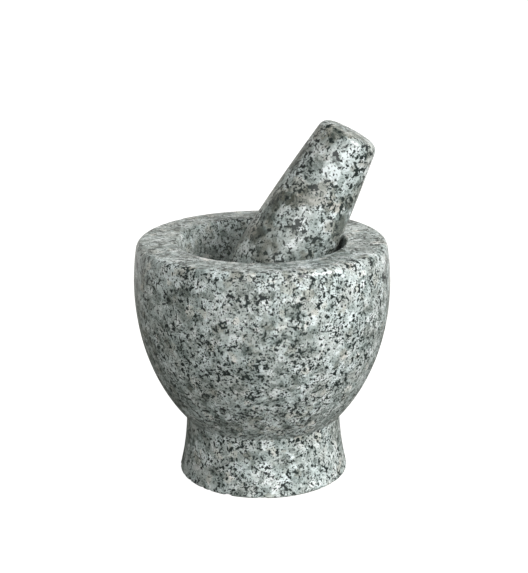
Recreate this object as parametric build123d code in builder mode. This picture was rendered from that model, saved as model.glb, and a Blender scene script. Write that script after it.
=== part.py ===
from build123d import *
from math import asin, cos, degrees, radians, sin
import os

# Granite mortar and pestle, each piece turned and ground from one block of stone.
# The mortar is an egg-shaped bowl on a short flared foot. The pestle is a tapered club
# that stands in the bowl and leans on its lip.
# Frame: origin at the centre of the foot's underside, +Z up, the pestle leans towards +X.
# Lengths are in millimetres, angles in degrees.

os.makedirs("parts", exist_ok=True)

# Mortar, outside: the belly is one ellipse turned about Z, down to a crisp neck.
height = 94.3
belly_radius = 50.0
belly_half_height = 68.0
belly_z = 77.0
neck_z = 23.2
foot_radius = 33.8
foot_bow = 0.65
rim_crown = 0.3

# Mortar, inside: a round floor and a nearly upright wall that opens a little to the lip.
lip_radius = 32.7
floor_z = 33.0
bowl_radius = 30.6
bowl_wall_angle = 2.5

# Worked edges.
rim_edge_radius = 3.0
lip_edge_radius = 1.6
foot_edge_radius = 0.6

# Pestle, measured along its own axis from where that axis crosses the rim plane.
pestle_lean = 27.8
pestle_offset_x = 13.0
pestle_offset_y = 5.7
handle_end = 46.8
handle_end_radius = 11.7
handle_end_dome = 1.2
handle_edge_radius = 3.8
grinding_radius = 20.2
grinding_centre = -41.0
grinding_taper = 2.8

# The belly's ellipse runs from the neck to the rim by its own angle.
neck_angle = degrees(asin((neck_z - belly_z) / belly_half_height))
rim_angle = degrees(asin((height - belly_z) / belly_half_height))
neck_radius = belly_radius * cos(radians(neck_angle))
rim_radius = belly_radius * cos(radians(rim_angle))
bowl_z = floor_z + bowl_radius

with BuildPart() as mortar:
    with BuildSketch(Plane.XZ):
        with BuildLine():
            Line((0, height), (0, 0))
            Line((0, 0), (foot_radius, 0))
            foot_middle = ((foot_radius + neck_radius) / 2 - foot_bow, neck_z / 2)
            ThreePointArc((foot_radius, 0), foot_middle, (neck_radius, neck_z))
            EllipticalCenterArc(
                center=(0, belly_z),
                x_radius=belly_radius,
                y_radius=belly_half_height,
                start_angle=neck_angle,
                arc_size=rim_angle - neck_angle,
            )
            rim_middle = ((rim_radius + lip_radius) / 2, height + rim_crown)
            ThreePointArc((rim_radius, height), rim_middle, (lip_radius, height))
            Line((lip_radius, height), (0, height))
        make_face()
    revolve(axis=Axis.Z)
    with BuildSketch(Plane.XZ):
        with BuildLine():
            floor = CenterArc((0, bowl_z), bowl_radius, -90, 90 + bowl_wall_angle)
            TangentArc(floor @ 1, (lip_radius, height), tangent=floor % 1)
            Polyline((lip_radius, height), (0, height), floor @ 0)
        make_face()
    revolve(axis=Axis.Z, mode=Mode.SUBTRACT)
    rings = mortar.edges().filter_by(GeomType.CIRCLE)
    fillet(rings.filter_by(lambda e: abs(e.radius - rim_radius) < 0.01), rim_edge_radius)
    rings = mortar.edges().filter_by(GeomType.CIRCLE)
    fillet(rings.filter_by(lambda e: abs(e.radius - lip_radius) < 0.01), lip_edge_radius)
    fillet(mortar.edges().sort_by(Axis.Z)[0], foot_edge_radius)
mortar.part.label = "mortar"
export_step(mortar.part, "parts/mortar.step")

# The pestle's plane holds its axis, which is the plane's own Y direction.
lean_x = sin(radians(pestle_lean))
lean_z = cos(radians(pestle_lean))
pestle_plane = Plane(
    origin=(pestle_offset_x, pestle_offset_y, height),
    x_dir=(lean_z, 0, -lean_x),
    z_dir=(0, -1, 0),
)
pestle_axis = Axis(pestle_plane.origin, (lean_x, 0, lean_z))

with BuildPart() as pestle:
    with BuildSketch(pestle_plane):
        with BuildLine():
            grinding_end = CenterArc((0, grinding_centre), grinding_radius, -90, 90 + grinding_taper)
            handle_edge = (handle_end_radius, handle_end - handle_end_dome)
            TangentArc(grinding_end @ 1, handle_edge, tangent=grinding_end % 1)
            dome_middle = (handle_end_radius / 2, handle_end - handle_end_dome / 4)
            ThreePointArc(handle_edge, dome_middle, (0, handle_end))
            Line((0, handle_end), grinding_end @ 0)
        make_face()
    revolve(axis=pestle_axis)
    top_ring = pestle.edges().filter_by(GeomType.CIRCLE).sort_by(Axis.Z)[-1]
    fillet(top_ring, handle_edge_radius)
pestle.part.label = "pestle"
export_step(pestle.part, "parts/pestle.step")
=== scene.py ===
# A small polished granite mortar with its pestle leaning in the bowl, in metres,
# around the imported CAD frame: +Z is up, the pestle leans to +X, the front is -Y.
from math import asin, atan2, cos, degrees, pi, radians, sin, tan

import bpy
from mathutils import Matrix, Vector


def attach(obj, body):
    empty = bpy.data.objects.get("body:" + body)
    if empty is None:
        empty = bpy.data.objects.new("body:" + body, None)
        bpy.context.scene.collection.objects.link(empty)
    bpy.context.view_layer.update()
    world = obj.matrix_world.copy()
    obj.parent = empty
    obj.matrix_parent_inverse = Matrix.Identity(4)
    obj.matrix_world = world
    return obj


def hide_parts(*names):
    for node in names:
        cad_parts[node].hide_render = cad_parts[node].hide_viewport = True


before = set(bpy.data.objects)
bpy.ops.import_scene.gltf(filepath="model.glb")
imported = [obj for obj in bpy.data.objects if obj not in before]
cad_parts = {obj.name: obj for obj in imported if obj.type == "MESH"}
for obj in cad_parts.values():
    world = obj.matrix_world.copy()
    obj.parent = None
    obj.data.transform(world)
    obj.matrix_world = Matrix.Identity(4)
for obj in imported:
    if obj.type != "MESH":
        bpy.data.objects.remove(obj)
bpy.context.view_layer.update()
mm = 0.001

# ---------------------------------------------------------------------------
# Camera: a long lens on a tripod, about 140 mm above the rim and looking down at it.
# ---------------------------------------------------------------------------
belly_middle = Vector((0, 0, 45 * mm))
camera_distance = 568.5 * mm
camera_height_angle = radians(19.81)
camera_tilt_down = radians(16.9)
camera_turn = radians(0.08)
camera_roll = radians(-0.46)

camera_data = bpy.data.cameras.new("tripod_camera")
camera_data.lens = 89.6
camera = bpy.data.objects.new("tripod_camera", camera_data)
bpy.context.scene.collection.objects.link(camera)
camera.location = belly_middle + camera_distance * Vector(
    (0, -cos(camera_height_angle), sin(camera_height_angle))
)
aim = Matrix.Rotation(-camera_turn, 3, "Z") @ Matrix.Rotation(pi / 2 - camera_tilt_down, 3, "X")
camera.rotation_euler = (aim @ Matrix.Rotation(camera_roll, 3, "Z")).to_euler()
bpy.context.scene.camera = camera

# ---------------------------------------------------------------------------
# Studio: a flat white table whose far part glows as a lit white sweep behind, a pale room, a broad key
# lamp at the right, and a weaker one low in front. The camera sees table and room as pure
# white, without shadows. What they throw on the stone is less.
# ---------------------------------------------------------------------------


def add_node(tree, kind, inputs=None, **settings):
    """Adds a node with its settings, and fills its inputs, by name or number, with values or links."""
    made = tree.nodes.new(kind)
    for key, value in settings.items():
        setattr(made, key, value)
    for key, value in (inputs or {}).items():
        if isinstance(value, bpy.types.NodeSocket):
            tree.links.new(value, made.inputs[key])
        else:
            made.inputs[key].default_value = value
    return made


def seen_white(tree, lit, white):
    """What a surface gives off: lit for the stone, and at least white for the camera."""
    camera_ray = add_node(tree, "ShaderNodeLightPath").outputs["Is Camera Ray"]
    seen = add_node(tree, "ShaderNodeMath", {0: camera_ray, 1: white}, operation="MULTIPLY")
    return add_node(tree, "ShaderNodeMath", {0: seen.outputs[0], 1: lit}, operation="MAXIMUM").outputs[0]


def fade(tree, value, low, high, start=0.0, stop=1.0):
    """A smooth change from start, where the value is low, to stop, where it is high."""
    inputs = {"Value": value, "From Min": low, "From Max": high, "To Min": start, "To Max": stop}
    return add_node(tree, "ShaderNodeMapRange", inputs, interpolation_type="SMOOTHSTEP").outputs[0]


# The table, 12 m square. Its sweep starts 0.15 m behind the mortar's axis and is full at 0.32 m.
floor_mesh = bpy.data.meshes.new("floor")
floor_half = 6.0
corner_signs = ((-1, -1), (1, -1), (1, 1), (-1, 1))
floor_corners = [(x * floor_half, y * floor_half, 0) for x, y in corner_signs]
floor_mesh.from_pydata(floor_corners, [], [(0, 1, 2, 3)])
floor = bpy.data.objects.new("floor", floor_mesh)
bpy.context.scene.collection.objects.link(floor)
white_table = bpy.data.materials.new("white_table")
white_table.use_nodes = True
table_tree = white_table.node_tree
table_shader = table_tree.nodes["Principled BSDF"]
table_shader.inputs["Base Color"].default_value = (0.18, 0.18, 0.16, 1)
table_shader.inputs["Roughness"].default_value = 0.9
table_shader.inputs["Specular IOR Level"].default_value = 0.2
table_shader.inputs["Emission Color"].default_value = (1, 1, 1, 1)
table_place = add_node(table_tree, "ShaderNodeTexCoord").outputs["Object"]
behind = add_node(table_tree, "ShaderNodeSeparateXYZ", {"Vector": table_place}).outputs["Y"]
sweep = fade(table_tree, behind, low=0.15, high=0.32, stop=0.50)
table_tree.links.new(seen_white(table_tree, sweep, 1.0), table_shader.inputs["Emission Strength"])
floor_mesh.materials.append(white_table)

# The room: an even glow, and the top of the lit sweep as a brighter patch low at the back.
room_glow = 0.155
room = bpy.data.worlds.new("pale_room")
room.use_nodes = True
room_tree = room.node_tree
way = add_node(room_tree, "ShaderNodeTexCoord").outputs["Generated"]
way = add_node(room_tree, "ShaderNodeSeparateXYZ", {"Vector": way}).outputs
backwards = fade(room_tree, way["Y"], low=0.0, high=0.6, stop=0.45)
low = fade(room_tree, way["Z"], low=0.40, high=0.75, start=1.0, stop=0.0)
sweep_top = {0: backwards, 1: low, 2: room_glow}
sweep_top = add_node(room_tree, "ShaderNodeMath", sweep_top, operation="MULTIPLY_ADD").outputs[0]
room_shade = room_tree.nodes["Background"]
room_shade.inputs["Color"].default_value = (1.0, 1.0, 0.94, 1)
room_tree.links.new(seen_white(room_tree, sweep_top, 1.1), room_shade.inputs["Strength"])
bpy.context.scene.world = room
bpy.context.scene.view_settings.view_transform = "Standard"


def broad_lamp(name, turn, rise, energy, width):
    """A far, broad lamp, turned to the right of the front and raised, both in degrees, like its width."""
    lamp = bpy.data.lights.new(name, "SUN")
    lamp.energy = energy
    lamp.angle = radians(width)
    stand = bpy.data.objects.new(name, lamp)
    bpy.context.scene.collection.objects.link(stand)
    level = cos(radians(rise))
    towards = Vector((sin(radians(turn)) * level, -cos(radians(turn)) * level, sin(radians(rise))))
    stand.rotation_euler = towards.to_track_quat("Z", "Y").to_euler()


broad_lamp("key_lamp", turn=62, rise=34, energy=3.25, width=30)
broad_lamp("front_lamp", turn=0, rise=14, energy=1.50, width=50)

# ---------------------------------------------------------------------------
# Mortar: one block of light-grey granite, turned and ground to an egg-shaped bowl on a
# short flared foot, then polished outside. The bowl's inside stays duller from the grinding, and darker
# towards its floor, partly from dust and partly as painted shade.
# ---------------------------------------------------------------------------


def arc(centre, radii, start, stop, steps):
    """Points along an ellipse's arc between two angles in degrees."""
    turns = [radians(start + (stop - start) * i / steps) for i in range(steps + 1)]
    return [Vector((centre[0] + radii[0] * cos(a), centre[1] + radii[1] * sin(a))) for a in turns]


def bowed(start, stop, bow, steps):
    """Points along a line that bows to its left by that much in its middle."""
    start, along = Vector(start), Vector(stop) - Vector(start)
    left = along.orthogonal().normalized() * bow
    parts = [i / steps for i in range(steps + 1)]
    return [start + along * part + left * (4 * part * (1 - part)) for part in parts]


def leaving(start, heading, stop, steps):
    """Points along the arc that leaves start at that heading, in radians, and ends at stop."""
    start, chord = Vector(start), Vector(stop) - Vector(start)
    turn = atan2(chord.y, chord.x) - heading
    points = [start]
    for i in range(1, steps + 1):
        part = turn * i / steps
        reach = chord.length * sin(part) / sin(turn)
        points.append(start + reach * Vector((cos(heading + part), sin(heading + part))))
    return points


def cut_back(points, cut):
    """The stretch less whatever is nearer than that to its last point."""
    far = [p for p in points if (p - points[-1]).length > cut]
    near = points[len(far)]
    outer, inner = (far[-1] - points[-1]).length, (near - points[-1]).length
    return far + [far[-1].lerp(near, (outer - cut) / (outer - inner))]


def round_corner(before, after, radius, steps=9):
    """Cuts two stretches back from the corner where they meet, and rounds it between them.

    The rounding is one cubic curve whose pull is that of a circle's arc with the same turn.
    """
    came = (before[-1] - before[-2]).normalized()
    goes = (after[1] - after[0]).normalized()
    cut = radius * tan(came.angle(goes) / 2)
    before, after = cut_back(before, cut), cut_back(after[::-1], cut)[::-1]
    start, came = before[-1], (before[-1] - before[-2]).normalized()
    stop, goes = after[0], (after[1] - after[0]).normalized()
    turn = came.angle(goes)
    pull = 4 / 3 * tan(turn / 4) * (stop - start).length / (2 * sin(turn / 2))
    rounding = []
    for i in range(1, steps):
        t = i / steps
        place = start * (1 - t) ** 3 + (start + came * pull) * 3 * t * (1 - t) ** 2
        rounding.append(place + (stop - goes * pull) * 3 * t * t * (1 - t) + stop * t**3)
    return before, rounding, after


def worked_outline(stretches, corners, chip_reach=2.5):
    """Joins stretches of (points, worn there, worn at the end) with a (radius, edge) at each corner.

    Gives rows of (place, worn, edge), where edge fades out at the chips' reach from the rounding.
    """
    points, worn, worn_end = stretches[0]
    rows, edges = [], []
    for (radius, sharpness), (after, *after_worn) in zip(corners, stretches[1:]):
        rounding = []
        if radius:
            points, rounding, after = round_corner(points, after, radius)
        rows += [(p, worn + (worn_end - worn) * i / len(points)) for i, p in enumerate(points)]
        rows += [(p, (worn_end + after_worn[0]) / 2) for p in rounding]
        edges += [(p, sharpness) for p in rounding]
        points = after if radius else after[1:]
        worn, worn_end = after_worn
    rows += [(p, worn + (worn_end - worn) * i / len(points)) for i, p in enumerate(points)]

    def edge(place):
        return max(sharpness * max(0, 1 - (place - p).length / chip_reach) for p, sharpness in edges)

    return [(p, worn, edge(p)) for p, worn in rows]


def add_sockets(tree, in_out, sockets):
    """Gives a node group its named inputs or outputs, each with its type and its default or None."""
    for name, kind, value in sockets:
        socket = tree.interface.new_socket(name=name, in_out=in_out, socket_type="NodeSocket" + kind)
        if value is not None:
            socket.default_value = value


def node_makers(tree):
    """The two makers that both node groups below use: any node, and one step of arithmetic."""

    def node(kind, inputs=None, **settings):
        return add_node(tree, kind, inputs, **settings)

    def maths(operation, *values, clamp=False):
        inputs = dict(enumerate(values))
        return node("ShaderNodeMath", inputs, operation=operation, use_clamp=clamp).outputs[0]

    return node, maths


def turned_stone_tree():
    """Turns a half outline about Z, then leaves the slight unevenness and edge chips of hand work."""
    tree = bpy.data.node_groups.new("turned_stone", "GeometryNodeTree")
    inputs = (
        ("Outline", "Geometry", None),
        ("Steps Round", "Int", 360),
        ("Unevenness", "Float", 0.2 * mm),
        ("Unevenness Width", "Float", 25 * mm),
        ("Chip Depth", "Float", 0.3 * mm),
        ("Chip Width", "Float", 2.5 * mm),
        ("Lowest", "Float", -1.0),
        ("Seed", "Float", 0.0),
        ("Stone", "Material", None),
    )
    add_sockets(tree, "INPUT", inputs)
    add_sockets(tree, "OUTPUT", [("Geometry", "Geometry", None)])
    node, maths = node_makers(tree)

    def noise(width):
        scale = maths("DIVIDE", 1.0, width)
        inputs = {"Vector": place, "W": given["Seed"], "Scale": scale, "Detail": 2.0}
        return node("ShaderNodeTexNoise", inputs, noise_dimensions="4D").outputs[0]

    # The outline is swept round a circle as thin as a spindle, then its ends are welded on the axis.
    spindle, weld = 1 * mm, 0.002 * mm
    given = node("NodeGroupInput").outputs
    inputs = {"Geometry": given["Outline"], "Translation": (-spindle, 0, 0), "Rotation": (pi / 2, 0, 0)}
    outline = node("GeometryNodeTransform", inputs).outputs["Geometry"]
    outline = node("GeometryNodeMeshToCurve", {"Mesh": outline}).outputs["Curve"]
    inputs = {"Resolution": given["Steps Round"], "Radius": spindle}
    circle = node("GeometryNodeCurvePrimitiveCircle", inputs).outputs["Curve"]
    swept = node("GeometryNodeCurveToMesh", {"Curve": circle, "Profile Curve": outline}).outputs["Mesh"]
    welded = node("GeometryNodeMergeByDistance", {"Geometry": swept, "Distance": weld}).outputs
    skin = node("GeometryNodeFlipFaces", {"Mesh": welded["Geometry"]}).outputs["Mesh"]

    # The whole skin swells and sinks a little. Chips bite where the edge attribute allows it and the
    # noise is over a level that leaves most of an edge whole, and their sides are steep.
    noise_middle, chip_level, chip_steepness = 0.5, 0.56, 6.0
    place = node("GeometryNodeInputPosition").outputs["Position"]
    normal = node("GeometryNodeInputNormal").outputs["Normal"]
    swell = maths("SUBTRACT", noise(given["Unevenness Width"]), noise_middle)
    swell = maths("MULTIPLY", swell, given["Unevenness"])
    edge = node("GeometryNodeInputNamedAttribute", {"Name": "edge"}, data_type="FLOAT").outputs[0]
    chip = maths("SUBTRACT", noise(given["Chip Width"]), chip_level)
    chip = maths("MULTIPLY", chip, chip_steepness, clamp=True)
    chip = maths("MULTIPLY", maths("MULTIPLY", chip, edge), given["Chip Depth"])
    inputs = {0: normal, "Scale": maths("SUBTRACT", swell, chip)}
    push = node("ShaderNodeVectorMath", inputs, operation="SCALE").outputs[0]
    skin = node("GeometryNodeSetPosition", {"Geometry": skin, "Offset": push}).outputs["Geometry"]

    # Nothing reaches below the lowest level, so a foot stays flat on its table.
    where = node("ShaderNodeSeparateXYZ", {"Vector": place}).outputs
    inputs = {"X": where["X"], "Y": where["Y"], "Z": maths("MAXIMUM", where["Z"], given["Lowest"])}
    lifted = node("ShaderNodeCombineXYZ", inputs).outputs["Vector"]
    skin = node("GeometryNodeSetPosition", {"Geometry": skin, "Position": lifted}).outputs["Geometry"]
    skin = node("GeometryNodeSetShadeSmooth", {"Geometry": skin}).outputs["Geometry"]
    skin = node("GeometryNodeRealizeInstances", {"Geometry": skin}).outputs["Geometry"]
    inputs = {"Geometry": skin, "Material": given["Stone"]}
    skin = node("GeometryNodeSetMaterial", inputs).outputs["Geometry"]
    node("NodeGroupOutput", {"Geometry": skin})
    return tree


turned_stone = turned_stone_tree()


def turn_stone(name, outline, place, **inputs):
    """Turns a piece from the rows of its outline, and sets it in place."""
    half = bpy.data.meshes.new(name + "_outline")
    corners = [(max(point.x, 0) * mm, 0, point.y * mm) for point, _, _ in outline]
    half.from_pydata(corners, [(i, i + 1) for i in range(len(corners) - 1)], [])
    for column, key in ((1, "worn"), (2, "edge")):
        values = [row[column] for row in outline]
        half.attributes.new(key, "FLOAT", "POINT").data.foreach_set("value", values)
    blank = bpy.data.objects.new(name + "_blank", half)
    bpy.context.scene.collection.objects.link(blank)
    lathe = blank.modifiers.new("turned_stone", "NODES")
    lathe.node_group = turned_stone
    items = turned_stone.interface.items_tree
    sockets = {item.name: item.identifier for item in items if item.in_out == "INPUT"}
    for key, value in inputs.items():
        lathe[sockets[key.replace("_", " ").title()]] = value
    bpy.context.view_layer.update()
    finished = blank.evaluated_get(bpy.context.evaluated_depsgraph_get())
    mesh = bpy.data.meshes.new_from_object(finished)
    blank.modifiers.remove(lathe)
    bpy.data.objects.remove(blank)
    mesh.transform(place)
    mesh.name = name
    piece = bpy.data.objects.new(name, mesh)
    bpy.context.scene.collection.objects.link(piece)
    return piece


def granite_group():
    """Granite as a solid pattern: feldspar and quartz crystals, and black mica in swarms among them."""
    tree = bpy.data.node_groups.new("granite", "ShaderNodeTree")
    inputs = (
        ("Vector", "Vector", (0, 0, 0)),
        ("Crystal Size", "Float", 3.5 * mm),
        ("Mica Size", "Float", 1.3 * mm),
        ("Mica", "Float", 0.5),
        ("Smoke", "Float", 0.5),
        ("Contrast", "Float", 1.0),
        ("Worn", "Float", 0.0),
    )
    add_sockets(tree, "INPUT", inputs)
    outputs = [("Color", "Color", None), ("Roughness", "Float", None), ("Height", "Float", None)]
    add_sockets(tree, "OUTPUT", outputs)
    node, maths = node_makers(tree)
    given = node("NodeGroupInput").outputs
    noise_middle = 0.5

    def measured(width):
        """The stone's place counted in grains of that width."""
        inputs = {0: given["Vector"], "Scale": maths("DIVIDE", 1.0, width)}
        return node("ShaderNodeVectorMath", inputs, operation="SCALE").outputs[0]

    def noise(vector, scale, detail=2.0, roughness=0.5):
        inputs = {"Vector": vector, "Scale": scale, "Detail": detail, "Roughness": roughness}
        return node("ShaderNodeTexNoise", inputs).outputs

    def warp(vector, scale, amount, detail=2.0):
        """Pushes places about, so that cells and flakes lose their even shapes."""
        inputs = {0: noise(vector, scale, detail)["Color"], 1: (noise_middle,) * 3}
        push = node("ShaderNodeVectorMath", inputs, operation="SUBTRACT").outputs[0]
        push = node("ShaderNodeVectorMath", {0: push, "Scale": amount}, operation="SCALE").outputs[0]
        return node("ShaderNodeVectorMath", {0: vector, 1: push}, operation="ADD").outputs[0]

    def cells(vector, scale, smoothness):
        """Three chance values for each crystal of a packed field, run together at its borders."""
        inputs = {"Vector": vector, "Scale": scale}
        made = node("ShaderNodeTexVoronoi", inputs, feature="SMOOTH_F1")
        made.inputs["Smoothness"].default_value = smoothness
        return node("ShaderNodeSeparateColor", {0: made.outputs["Color"]}).outputs

    def blend(factor, first, second, kind="MIX"):
        inputs = {0: factor, 6: first, 7: second}
        return node("ShaderNodeMix", inputs, data_type="RGBA", blend_type=kind).outputs[2]

    def palette(value, stops):
        table = node("ShaderNodeValToRGB", {"Fac": value})
        while len(table.color_ramp.elements) < len(stops):
            table.color_ramp.elements.new(0.5)
        for element, (position, colour) in zip(table.color_ramp.elements, stops):
            element.position = position
            element.color = (*colour, 1)
        return table.outputs["Color"]

    # Crystals: large feldspar, quartz less than half as wide, fine grain inside both and slow
    # clouds over all. Each has its share in one brightness, whose middle the contrast leaves alone.
    feldspar_share, quartz_share, grain_share, cloud_share = 0.50, 0.36, 0.75, 0.30
    mix_middle, brightness_middle = 0.43, 0.55
    place = measured(given["Crystal Size"])
    bent = warp(place, scale=0.9, amount=1.0)
    bent = warp(bent, scale=3.4, amount=0.60, detail=4.0)
    feldspar = cells(bent, scale=1.0, smoothness=0.35)
    quartz = cells(bent, scale=2.2, smoothness=0.25)
    grain = noise(bent, scale=7.0, detail=4.0, roughness=0.7)[0]
    grain = maths("SUBTRACT", grain, noise_middle)
    cloud = noise(place, scale=1.2, detail=3.0, roughness=0.6)[0]
    cloud = maths("SUBTRACT", cloud, noise_middle)
    brightness = maths("MULTIPLY", feldspar[0], feldspar_share)
    brightness = maths("ADD", brightness, maths("MULTIPLY", quartz[0], quartz_share))
    brightness = maths("ADD", brightness, maths("MULTIPLY", grain, grain_share))
    brightness = maths("ADD", brightness, maths("MULTIPLY", cloud, cloud_share))
    brightness = maths("MULTIPLY", maths("SUBTRACT", brightness, mix_middle), given["Contrast"])
    mineral = palette(
        maths("ADD", brightness_middle, brightness),
        (
            (0.10, (0.160, 0.190, 0.178)),
            (0.27, (0.275, 0.315, 0.298)),
            (0.41, (0.410, 0.458, 0.440)),
            (0.56, (0.530, 0.582, 0.566)),
            (0.71, (0.655, 0.708, 0.695)),
            (0.86, (0.830, 0.872, 0.872)),
        ),
    )

    # Tints laid over them: a slow drift to cold, a few cream feldspars, and smoky brown patches.
    cold, cream, smoky = (0.97, 1.0, 1.01, 1), (1.0, 0.91, 0.83, 1), (0.50, 0.465, 0.415, 1)
    drift = fade(tree, noise(place, scale=0.55)[0], low=0.42, high=0.58)
    mineral = blend(drift, mineral, cold, "MULTIPLY")
    creamy = fade(tree, feldspar[1], low=0.80, high=0.92, stop=0.6)
    mineral = blend(creamy, mineral, cream, "MULTIPLY")
    smoke = noise(place, scale=0.48, detail=3.0, roughness=0.6)[0]
    smoke = fade(tree, smoke, low=0.50, high=0.62)
    smoke = maths("MULTIPLY", smoke, given["Smoke"])
    mineral = blend(smoke, mineral, smoky, "MULTIPLY")

    # Mica: jagged flakes and finer specks lie wherever their noise rises over a level. Swarms and
    # the amount of mica both lift it, and a grey-green halo stains the stone round each flake.
    swarm_lift, mica_lift, halo_strength = 0.07, 0.12, 0.50
    halo_colour = (0.120, 0.142, 0.130, 1)
    mica_black, mica_green = (0.002, 0.007, 0.007, 1), (0.013, 0.024, 0.022, 1)
    swarm = fade(tree, noise(place, scale=0.60)[0], low=0.36, high=0.64, start=-0.5, stop=0.5)
    swarm = maths("MULTIPLY", swarm, swarm_lift)
    crowd = maths("ADD", swarm, maths("MULTIPLY", given["Mica"], mica_lift))
    jagged = warp(measured(given["Mica Size"]), scale=2.4, amount=0.38)
    flakes = maths("ADD", noise(jagged, scale=1.0, detail=1.0)[0], crowd)
    mica = fade(tree, flakes, low=0.662, high=0.680)
    halo = fade(tree, flakes, low=0.575, high=0.675, stop=halo_strength)
    specks = maths("ADD", noise(jagged, scale=2.3, detail=1.0)[0], crowd)
    specks = fade(tree, specks, low=0.660, high=0.684)
    mineral = blend(halo, mineral, halo_colour)
    dark = blend(quartz[2], mica_black, mica_green)

    # Wear: ground stone loses some of its mica, takes on dust, and turns from glossy to rough. The dust
    # colour is partly painted shade, darkest on the bowl's floor.
    mica_lost, dust_and_shade, wear_roughness = 0.3, 0.60, 0.42
    polish_roughness, mica_roughness = 0.22, 0.10
    mica_pit, wear_pit = -0.6, 2.0
    dust_and_shade_colour = (0.150, 0.158, 0.132, 1)
    kept = maths("SUBTRACT", 1.0, maths("MULTIPLY", given["Worn"], mica_lost))
    all_mica = maths("MULTIPLY", maths("MAXIMUM", mica, specks), kept)
    colour = blend(all_mica, mineral, dark)
    # Painted shade with the dust: this dark colour darkens the worn stone most towards the bowl's floor,
    # where the deep bowl is shaded; the rest is real grinding dust.
    colour = blend(maths("MULTIPLY", given["Worn"], dust_and_shade), colour, dust_and_shade_colour)
    polish = maths("ADD", polish_roughness, maths("MULTIPLY", all_mica, mica_roughness))
    rough = maths("ADD", polish, maths("MULTIPLY", given["Worn"], wear_roughness))
    worn_grain = maths("MULTIPLY", maths("MULTIPLY", grain, given["Worn"]), wear_pit)
    pits = maths("ADD", maths("MULTIPLY", all_mica, mica_pit), worn_grain)
    node("NodeGroupOutput", {"Color": colour, "Roughness": rough, "Height": pits})
    return tree


granite = granite_group()


def granite_material(name, crystal_size, mica_size, mica, smoke, contrast, offset):
    """Granite of that grain, polished except where the worn attribute says that it is ground dull, and
    darker there from dust and painted shade.
    """
    material = bpy.data.materials.new(name)
    material.use_nodes = True
    tree = material.node_tree
    shader = tree.nodes["Principled BSDF"]
    shader.inputs["IOR"].default_value = 1.54
    place = add_node(tree, "ShaderNodeTexCoord").outputs["Object"]
    place = add_node(tree, "ShaderNodeMapping", {"Vector": place, "Location": offset}).outputs[0]
    worn = add_node(tree, "ShaderNodeAttribute", attribute_name="worn").outputs["Fac"]
    inputs = {"Vector": place, "Crystal Size": crystal_size, "Mica Size": mica_size, "Mica": mica}
    inputs |= {"Smoke": smoke, "Contrast": contrast, "Worn": worn}
    stone = add_node(tree, "ShaderNodeGroup", inputs, node_tree=granite).outputs
    tree.links.new(stone["Color"], shader.inputs["Base Color"])
    tree.links.new(stone["Roughness"], shader.inputs["Roughness"])
    bump_depth = 0.03 * mm
    bump = add_node(tree, "ShaderNodeBump", {"Height": stone["Height"], "Distance": bump_depth})
    tree.links.new(bump.outputs["Normal"], shader.inputs["Normal"])
    return material


# The outline, in millimetres and degrees: the belly is one ellipse from the neck to the rim, and
# the bowl is a round floor and a nearly upright wall that opens a little to the lip.
height = 94.3
belly_radius, belly_half_height, belly_z = 50.0, 68.0, 77.0
neck_z, foot_radius, foot_bow = 23.2, 33.8, 0.65
lip_radius, bowl_radius, floor_z, bowl_wall_angle = 32.7, 30.6, 33.0, 2.5
rim_crown = 0.3
# Each corner's rounding radius, and how readily it chips, from 0 to 1.
foot_edge, neck_edge, rim_edge, lip_edge = (0.6, 1.0), (0.8, 0.0), (3.0, 0.3), (1.6, 0.6)
no_corner = (0, 0)

neck_angle = degrees(asin((neck_z - belly_z) / belly_half_height))
rim_angle = degrees(asin((height - belly_z) / belly_half_height))
neck = (belly_radius * cos(radians(neck_angle)), neck_z)
rim = (belly_radius * cos(radians(rim_angle)), height)
bowl_z = floor_z + bowl_radius
underside = bowed((0, 0), (foot_radius, 0), bow=0, steps=10)
foot = bowed((foot_radius, 0), neck, bow=foot_bow, steps=28)
belly = arc((0, belly_z), (belly_radius, belly_half_height), neck_angle, rim_angle, steps=90)
rim_top = bowed(rim, (lip_radius, height), bow=-rim_crown, steps=20)
bowl_floor = arc((0, bowl_z), (bowl_radius, bowl_radius), bowl_wall_angle, -90, steps=46)
wall_up = leaving(bowl_floor[0], radians(90 + bowl_wall_angle), (lip_radius, height), steps=30)
# The worn values rise from the lip down to the bowl's floor; their darkening there is partly real
# grinding wear and partly painted shade.
mortar_outline = worked_outline(
    [
        (underside, 1.0, 1.0),
        (foot, 0.0, 0.0),
        (belly, 0.0, 0.0),
        (rim_top, 0.0, 0.0),
        (wall_up[::-1], 0.3, 0.9),
        (bowl_floor, 0.9, 1.0),
    ],
    [foot_edge, neck_edge, rim_edge, lip_edge, no_corner],
)
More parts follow.
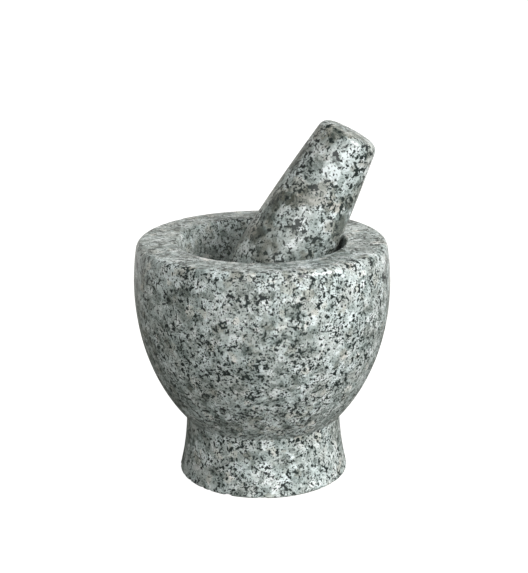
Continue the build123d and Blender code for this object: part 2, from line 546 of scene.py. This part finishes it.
mortar_granite = granite_material(
    "mortar_granite",
    crystal_size=3.6 * mm,
    mica_size=1.35 * mm,
    mica=0.50,
    smoke=0.4,
    contrast=1.02,
    offset=(0.013, 0.007, 0.021),
)
mortar = turn_stone(
    "mortar_stone",
    mortar_outline,
    Matrix.Identity(4),
    steps_round=370,
    unevenness=0.25 * mm,
    unevenness_width=28 * mm,
    chip_depth=0.6 * mm,
    chip_width=3.5 * mm,
    lowest=0.0,
    seed=3.0,
    stone=mortar_granite,
)
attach(mortar, "mortar")
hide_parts("mortar")

# ---------------------------------------------------------------------------
# Pestle: a second block of the same quarry's granite, turned to a tapered club. Its round
# grinding end stands on the bowl's floor and wall, and its side leans on the lip.
# ---------------------------------------------------------------------------
# Its axis leans to +X and crosses the rim's level at lean_from. Its own outline is measured
# along that axis from there, in millimetres and degrees.
lean = radians(27.8)
lean_from = Vector((13.0, 5.7, height)) * mm
handle_end, handle_end_radius, handle_dome = 46.8, 11.7, 1.2
grinding_centre, grinding_radius, grinding_taper = -41.0, 20.2, 2.8

handle_edge = (3.8, 0.2)

round_end = (grinding_radius, grinding_radius)
grinding_end = arc((0, grinding_centre), round_end, -90, grinding_taper, steps=40)
handle_corner = (handle_end_radius, handle_end - handle_dome)
shaft = leaving(grinding_end[-1], radians(90 + grinding_taper), handle_corner, steps=96)
handle_top = bowed(handle_corner, (0, handle_end), bow=-handle_dome / 4, steps=14)
pestle_outline = worked_outline(
    [(grinding_end, 1.0, 0.3), (shaft, 0.3, 0.0), (handle_top, 0.0, 0.0)],
    [no_corner, handle_edge],
)
pestle_granite = granite_material(
    "pestle_granite",
    crystal_size=6.0 * mm,
    mica_size=1.8 * mm,
    mica=0.53,
    smoke=0.9,
    contrast=1.32,
    offset=(0.05, 0.33, 0.21),
)
pestle = turn_stone(
    "pestle_stone",
    pestle_outline,
    Matrix.Translation(lean_from) @ Matrix.Rotation(lean, 4, "Y"),
    steps_round=220,
    unevenness=0.2 * mm,
    unevenness_width=25 * mm,
    chip_depth=0.2 * mm,
    chip_width=2.5 * mm,
    seed=8.0,
    stone=pestle_granite,
)
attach(pestle, "pestle")
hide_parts("pestle")
